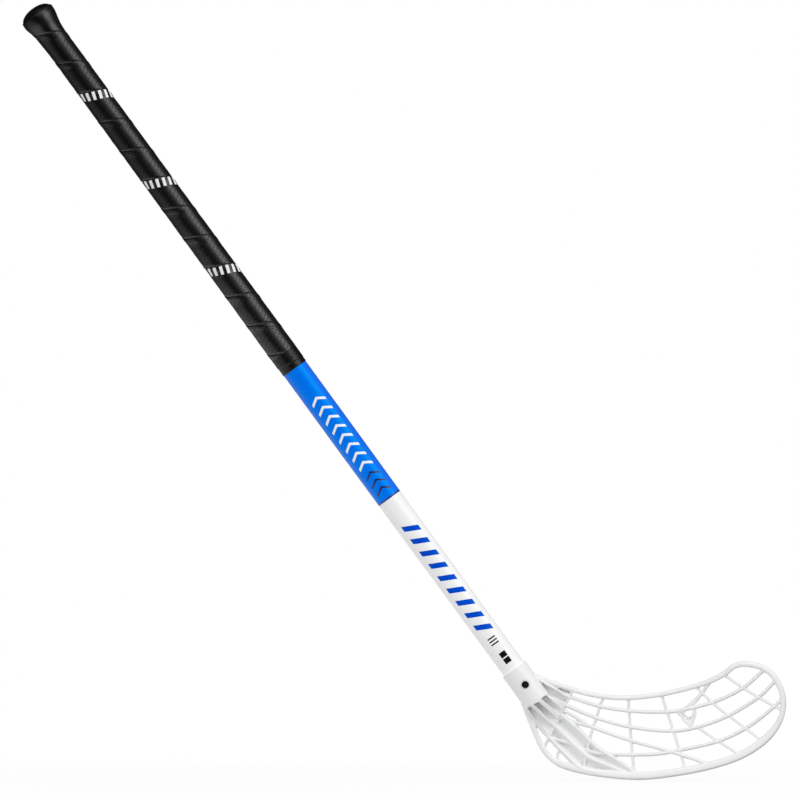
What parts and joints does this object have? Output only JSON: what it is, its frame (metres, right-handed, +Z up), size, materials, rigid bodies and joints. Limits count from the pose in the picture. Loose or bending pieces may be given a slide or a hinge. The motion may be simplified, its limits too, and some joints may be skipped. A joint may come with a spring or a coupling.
{
  "type": "floorball stick",
  "caption": "Floorball stick with a hollow tapered shaft, a wound grip with a knob at the butt, and a cupped lattice blade held on by one screw.",
  "frame": {"origin": "on the shaft's axis, in the middle of the straight stretch of the hand grip", "axes": "playing pose: +X along the floor towards the toe of the blade, +Z up, -Y on the side of the cupped blade face"},
  "size_m": [0.781, 0.041, 0.7957],
  "materials": {
    "shaft_white": "gloss lacquer on composite",
    "film_blue": "gloss printed film",
    "cap_black": "satin moulded",
    "collar_grey": "matt",
    "grip_black": "soft perforated tape",
    "tape_black": "textured tape",
    "plug_white": "moulded",
    "blade_white": "satin moulded",
    "screw_black": "blackened steel"
  },
  "bodies": {
    "stick": {"shaft_tube": "shaft_white", "shaft_film": "film_blue", "end_cap": "cap_black", "butt_collar": "collar_grey", "grip_wrap": "grip_black", "finishing_tape": "tape_black", "shaft_end_plug": "plug_white", "blade": "blade_white"},
    "screw": {"blade_screw": "screw_black"}
  },
  "joints": [
    {"name": "screw_withdrawal", "type": "slide", "parent": "stick", "child": "screw", "axis": [0, -1, 0], "range_m": [0, 0.0135]}
  ]
}
